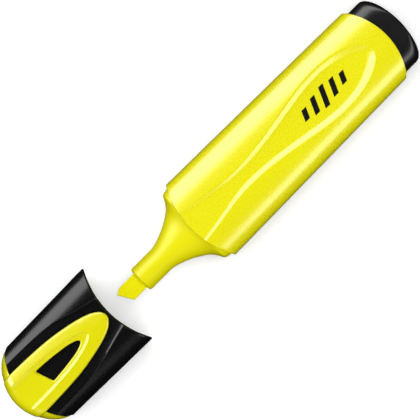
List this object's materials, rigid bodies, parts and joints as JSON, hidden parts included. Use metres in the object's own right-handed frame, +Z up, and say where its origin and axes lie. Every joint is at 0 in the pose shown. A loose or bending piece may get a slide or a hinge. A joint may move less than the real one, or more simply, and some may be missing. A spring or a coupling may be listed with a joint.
{
  "type": "highlighter",
  "caption": "Flat-bodied highlighter pen with chisel felt nib, end plug and a two-colour slide-off cap with a pocket clip.",
  "frame": {"origin": "middle of the base of the box of the whole pen, lying on its wide face with the cap drawn off", "axes": "+X along the pen from the cap to the rear plug, +Y across the wide face, +Z up through the depth"},
  "size_m": [0.1486, 0.0272, 0.0172],
  "materials": {
    "yellow_body": "satin moulded polypropylene",
    "yellow_cap": "gloss moulded plastic",
    "black_plastic": "satin black moulded plastic",
    "nib_felt": "ink-soaked polyester felt",
    "ink_fibre": "ink-soaked fibre",
    "clear_film": "thin polypropylene film",
    "white_liner": "soft polyethylene"
  },
  "bodies": {
    "pen": {"barrel": "yellow_body", "nose_section": "yellow_body", "nib": "nib_felt", "rear_plug": "black_plastic", "ink_reservoir": "ink_fibre", "reservoir_wrap": "clear_film"},
    "cap": {"cap_shell": "black_plastic", "cap_crown": "yellow_cap", "inner_cap": "white_liner"},
    "clip": {"pocket_clip": "yellow_cap"}
  },
  "joints": [
    {"name": "cap_slide", "type": "slide", "parent": "pen", "child": "cap", "axis": [1, 0, 0], "range_m": [0, 0.0322]},
    {"name": "clip_flex", "type": "hinge", "parent": "cap", "child": "clip", "pos_m": [-0.06875, 0, 0.0165], "axis": [0, -1, 0], "range_deg": [0, 5], "stiffness_Nm_per_rad": 0.5, "springref_deg": -1.15}
  ]
}
